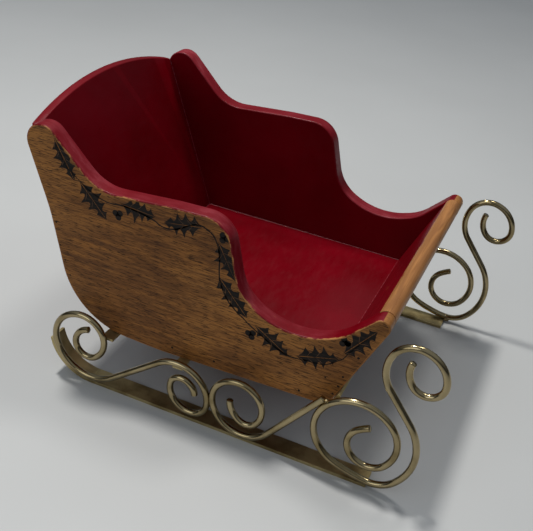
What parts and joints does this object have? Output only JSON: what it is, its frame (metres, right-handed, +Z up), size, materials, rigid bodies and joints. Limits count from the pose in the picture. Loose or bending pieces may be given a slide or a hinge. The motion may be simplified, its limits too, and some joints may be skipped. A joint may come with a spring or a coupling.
{
  "type": "sleigh",
  "caption": "table-top horse-drawn sleigh with stained wooden sides, red painted inside boards and scrolled brass-coloured rod runners",
  "frame": {"origin": "on the floor, in the middle of the overall length and width", "axes": "+X forward, to the front of the sleigh; +Y to the sleigh's left; +Z up"},
  "size_m": [0.3309, 0.2382, 0.2039],
  "materials": {
    "stained_wood": "satin, stained, with a burned leaf pattern and a worn red edge",
    "red_paint": "dark red paint over wood, satin",
    "rod_metal": "satin, brass-coloured",
    "bar_metal": "satin, dull brass-coloured",
    "strap_metal": "satin, dull brass-coloured"
  },
  "bodies": {
    "root": {"side_panel_left": "stained_wood", "side_panel_right": "stained_wood", "back_board": "red_paint", "floor_board": "red_paint", "front_board": "red_paint", "runner_bar_left": "bar_metal", "runner_bar_right": "bar_metal", "front_scroll_left": "rod_metal", "front_scroll_right": "rod_metal", "middle_scroll_left": "rod_metal", "middle_scroll_right": "rod_metal", "rear_scroll_left": "rod_metal", "rear_scroll_right": "rod_metal", "front_cross_strap": "strap_metal", "middle_cross_strap": "strap_metal", "rear_cross_strap": "strap_metal"}
  },
  "joints": []
}
